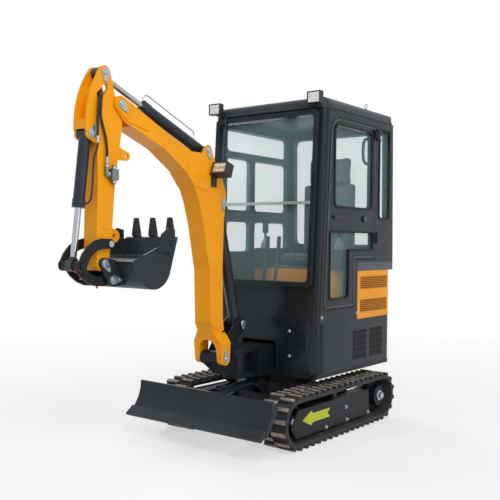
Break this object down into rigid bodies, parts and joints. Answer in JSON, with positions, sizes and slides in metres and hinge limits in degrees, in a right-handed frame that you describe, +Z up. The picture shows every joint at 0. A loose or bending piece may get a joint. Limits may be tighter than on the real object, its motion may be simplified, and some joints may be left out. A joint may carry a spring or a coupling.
{
  "type": "mini excavator",
  "caption": "Compact tracked excavator with closed cab, dozer blade, swinging boom, arm and toothed bucket, in orange-yellow and black.",
  "frame": {"origin": "on the ground, midway between the tracks, under the slew axis", "axes": "+X forward towards the blade and bucket, +Y to the driver's left, +Z up"},
  "size_m": [2.688, 1.08, 2.262],
  "materials": {
    "yellow_paint": "gloss enamel",
    "black_paint": "satin powder coat",
    "cast_iron": "painted casting",
    "rubber": "moulded, dusty",
    "worn_steel": "dark grey paint on plate",
    "barrel_paint": "gloss black",
    "chrome": "polished",
    "zinc_steel": "zinc plated",
    "glass": "clear, slightly green",
    "black_plastic": "moulded",
    "seat_vinyl": "vinyl"
  },
  "bodies": {
    "undercarriage": {"chassis": "black_paint", "track_cover_left": "black_paint", "track_cover_right": "black_paint", "track_left": "rubber", "track_right": "rubber", "sprockets": "black_paint", "idlers": "black_paint", "rollers": "black_paint", "slew_ring": "worn_steel"},
    "blade": {"blade": "worn_steel", "blade_edge": "worn_steel"},
    "blade_barrel": {"blade_barrel": "barrel_paint"},
    "blade_rod": {"blade_rod": "chrome"},
    "house": {"deck": "black_paint", "lower_body": "black_paint", "counterweight": "cast_iron", "hood": "yellow_paint", "engine": "cast_iron", "cab_base": "black_paint", "cab_floor": "black_paint", "cab_left": "black_paint", "cab_right": "black_paint", "cab_front": "black_paint", "cab_rear": "black_paint", "roof": "black_paint", "windscreen": "glass", "side_glass": "glass", "rear_glass": "glass", "seat": "seat_vinyl", "consoles": "black_plastic", "levers": "black_plastic", "roof_lamps": "black_plastic", "wiper": "black_plastic"},
    "door": {"door": "black_paint", "door_glass": "glass", "door_handle": "black_plastic"},
    "swing_post": {"swing_post": "black_paint"},
    "boom": {"boom": "yellow_paint", "boom_pins": "zinc_steel", "boom_lamp": "black_plastic"},
    "boom_barrel": {"boom_barrel": "barrel_paint"},
    "boom_rod": {"boom_rod": "chrome"},
    "arm": {"arm": "yellow_paint", "arm_pins": "zinc_steel", "cylinder_hose": "rubber", "valve_hose": "rubber", "arm_valve": "zinc_steel"},
    "arm_barrel": {"arm_barrel": "barrel_paint"},
    "arm_rod": {"arm_rod": "chrome"},
    "bucket_barrel": {"bucket_barrel": "barrel_paint"},
    "bucket_rod": {"bucket_rod": "chrome"},
    "rocker": {"rocker": "black_paint"},
    "bucket_link": {"bucket_link": "black_paint"},
    "bucket": {"bucket": "worn_steel", "bucket_pins": "zinc_steel", "bucket_teeth": "worn_steel"}
  },
  "joints": [
    {"name": "slew", "type": "hinge", "parent": "undercarriage", "child": "house", "pos_m": [0, 0, 0.395], "axis": [0, 0, 1], "continuous": true},
    {"name": "boom_swing", "type": "hinge", "parent": "house", "child": "swing_post", "pos_m": [0.54, 0, 0.49], "axis": [0, 0, 1], "range_deg": [-50, 70]},
    {"name": "boom_lift", "type": "hinge", "parent": "swing_post", "child": "boom", "pos_m": [0.765, 0, 0.55], "axis": [0, -1, 0], "range_deg": [-94, 15]},
    {"name": "arm_crowd", "type": "hinge", "parent": "boom", "child": "arm", "pos_m": [1.617, 0, 2.008], "axis": [0, 1, 0], "range_deg": [-105, 8]},
    {"name": "bucket_curl", "type": "hinge", "parent": "arm", "child": "bucket", "pos_m": [1.721, 0, 1.159], "axis": [0, 1, 0], "range_deg": [-130, 15]},
    {"name": "blade_lift", "type": "hinge", "parent": "undercarriage", "child": "blade", "pos_m": [0.42, 0, 0.19], "axis": [0, -1, 0], "range_deg": [-35, 10]},
    {"name": "door_hinge", "type": "hinge", "parent": "house", "child": "door", "pos_m": [-0.48, 0.488, 1.7], "axis": [0, 0, 1], "range_deg": [0, 170]},
    {"name": "boom_barrel_hinge", "type": "hinge", "parent": "swing_post", "child": "boom_barrel", "pos_m": [0.54, 0, 0.75], "axis": [0, -1, 0], "range_deg": [-90, 18]},
    {"name": "boom_rod_slide", "type": "slide", "parent": "boom_barrel", "child": "boom_rod", "axis": [0.2548, 0, 0.967], "range_m": [-0.07, 0.425]},
    {"name": "arm_barrel_hinge", "type": "hinge", "parent": "boom", "child": "arm_barrel", "pos_m": [0.9, 0, 1.836], "axis": [0, 1, 0], "range_deg": [-6, 3]},
    {"name": "arm_rod_slide", "type": "slide", "parent": "arm_barrel", "child": "arm_rod", "axis": [0.9297, 0, 0.3683], "range_m": [-0.292, 0.026]},
    {"name": "bucket_barrel_hinge", "type": "hinge", "parent": "arm", "child": "bucket_barrel", "pos_m": [1.805, 0, 1.831], "axis": [0, 1, 0], "range_deg": [-6, 3]},
    {"name": "bucket_rod_slide", "type": "slide", "parent": "bucket_barrel", "child": "bucket_rod", "axis": [0.1095, 0, -0.994], "range_m": [-0.25, 0.03]},
    {"name": "rocker_hinge", "type": "hinge", "parent": "arm", "child": "rocker", "pos_m": [1.694, 0, 1.262], "axis": [0, 1, 0], "range_deg": [-72, 10]},
    {"name": "bucket_link_hinge", "type": "hinge", "parent": "rocker", "child": "bucket_link", "pos_m": [1.88, 0, 1.15], "axis": [0, 1, 0], "range_deg": [-3, 11]},
    {"name": "blade_barrel_hinge", "type": "hinge", "parent": "undercarriage", "child": "blade_barrel", "pos_m": [0.325, 0, 0.338], "axis": [0, -1, 0], "range_deg": [-28, 9]},
    {"name": "blade_rod_slide", "type": "slide", "parent": "blade_barrel", "child": "blade_rod", "axis": [0.9973, 0, -0.0741], "range_m": [-0.04, 0.075]}
  ],
  "couplings": [
    {"joint": "boom_barrel_hinge", "follows": "boom_lift", "ratio": 0.92456},
    {"joint": "boom_rod_slide", "follows": "boom_lift", "m_per_rad": -0.25773},
    {"joint": "arm_barrel_hinge", "follows": "arm_crowd", "ratio": 0.03},
    {"joint": "arm_rod_slide", "follows": "arm_crowd", "m_per_rad": 0.15775},
    {"joint": "bucket_barrel_hinge", "follows": "bucket_curl", "ratio": 0.03},
    {"joint": "bucket_rod_slide", "follows": "bucket_curl", "m_per_rad": 0.1093},
    {"joint": "rocker_hinge", "follows": "bucket_curl", "ratio": 0.536},
    {"joint": "bucket_link_hinge", "follows": "bucket_curl", "ratio": -0.0723},
    {"joint": "blade_barrel_hinge", "follows": "blade_lift", "ratio": 0.745},
    {"joint": "blade_rod_slide", "follows": "blade_lift", "m_per_rad": -0.115}
  ]
}
